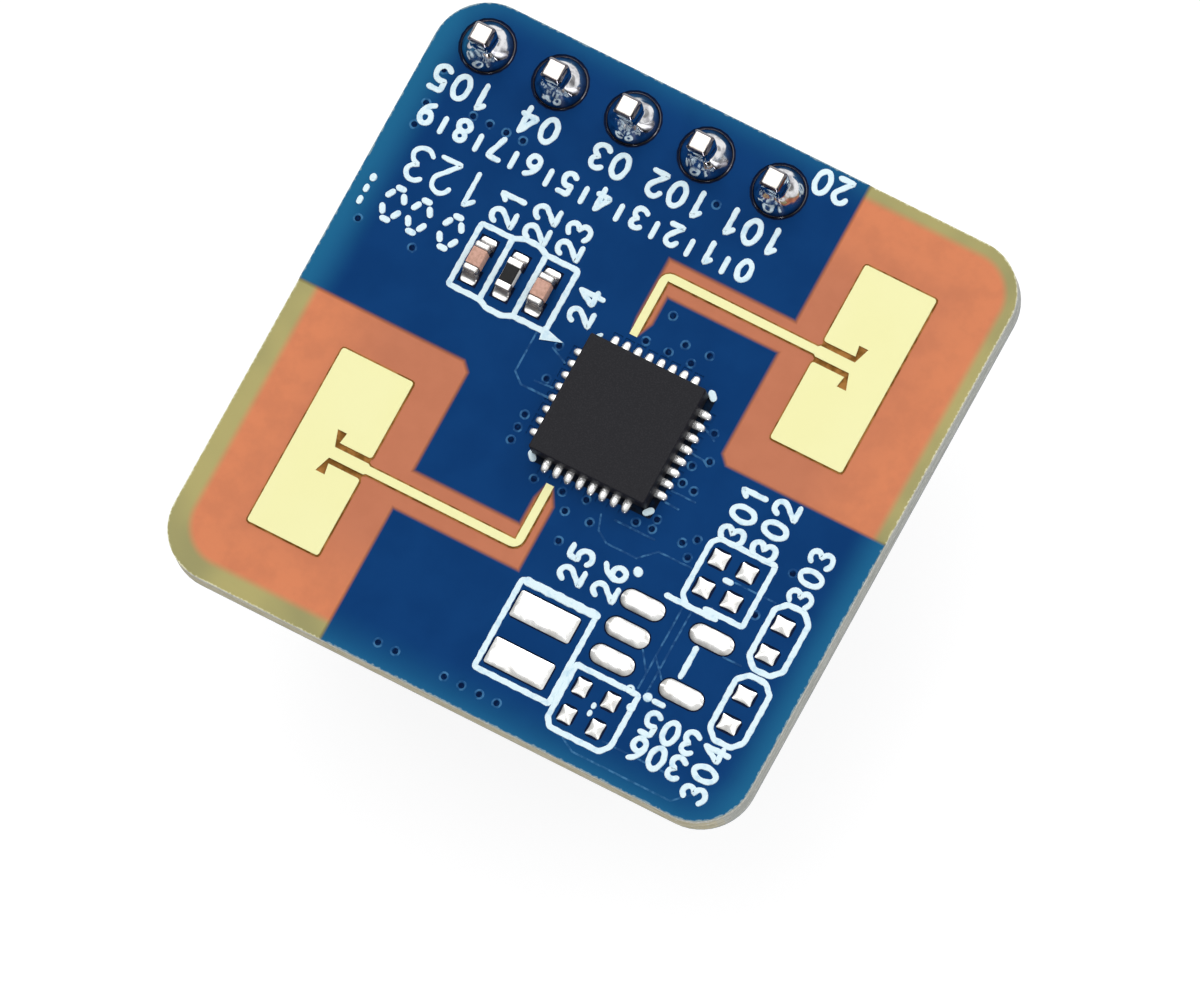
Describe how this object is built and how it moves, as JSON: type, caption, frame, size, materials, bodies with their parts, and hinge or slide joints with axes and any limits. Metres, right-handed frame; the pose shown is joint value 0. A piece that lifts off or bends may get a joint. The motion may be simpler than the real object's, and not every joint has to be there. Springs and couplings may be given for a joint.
{
  "type": "microwave radar sensor module",
  "caption": "Small square circuit board with two patch antennas, a leadless radar chip, bare tinned lands and a straight pin header soldered in from the back.",
  "frame": {"origin": "under the middle of the board, level with the tips of the header's pins", "axes": "+X along the header's row, towards the board's end that has no pins; +Y from the middle of the board to the header's edge; +Z out of the component face"},
  "size_m": [0.02, 0.02, 0.011],
  "materials": {
    "glass_laminate": "satin woven glass and epoxy with a sawn edge",
    "face_laminate": "smooth epoxy over inner copper",
    "inner_copper": "matt copper foil",
    "solder_mask": "semi-gloss blue lacquer",
    "gold_plating": "satin immersion gold on copper",
    "package_epoxy": "fine matt moulding",
    "header_plastic": "moulded black nylon",
    "tinned_pad": "bright levelled tin",
    "solder": "bright flowed solder",
    "pin_metal": "tinned brass",
    "capacitor_ceramic": "matt fired tan ceramic",
    "resistor_glaze": "black glaze",
    "crystal_metal": "plated metal lid",
    "legend_ink": "white screen print"
  },
  "bodies": {
    "root": {"core_laminate": "glass_laminate", "inner_ground_plane": "inner_copper", "front_laminate": "face_laminate", "front_solder_mask": "solder_mask", "back_solder_mask": "solder_mask", "transmit_antenna": "gold_plating", "receive_antenna": "gold_plating", "radar_chip": "package_epoxy", "header_housing": "header_plastic", "header_pin_1": "pin_metal", "header_pin_2": "pin_metal", "header_pin_3": "pin_metal", "header_pin_4": "pin_metal", "header_pin_5": "pin_metal", "header_solder_1": "solder", "header_solder_2": "solder", "header_solder_3": "solder", "header_solder_4": "solder", "header_solder_5": "solder", "front_capacitor_1": "capacitor_ceramic", "front_resistor_1": "resistor_glaze", "front_capacitor_2": "capacitor_ceramic", "back_capacitor_1": "capacitor_ceramic", "back_capacitor_2": "capacitor_ceramic", "back_capacitor_3": "capacitor_ceramic", "back_capacitor_4": "capacitor_ceramic", "back_resistor_1": "resistor_glaze", "back_resistor_2": "resistor_glaze", "back_resistor_3": "resistor_glaze", "back_resistor_4": "resistor_glaze", "clock_crystal": "crystal_metal", "voltage_regulator": "package_epoxy", "coil_land_1": "tinned_pad", "coil_land_2": "tinned_pad", "converter_land_1": "tinned_pad", "converter_land_2": "tinned_pad", "converter_land_3": "tinned_pad", "converter_land_4": "tinned_pad", "converter_land_5": "tinned_pad", "filter_land_1": "tinned_pad", "filter_land_2": "tinned_pad", "filter_land_3": "tinned_pad", "filter_land_4": "tinned_pad", "sense_land_1": "tinned_pad", "sense_land_2": "tinned_pad", "sense_land_3": "tinned_pad", "sense_land_4": "tinned_pad", "load_land_1": "tinned_pad", "load_land_2": "tinned_pad", "load_land_3": "tinned_pad", "load_land_4": "tinned_pad"}
  },
  "joints": []
}
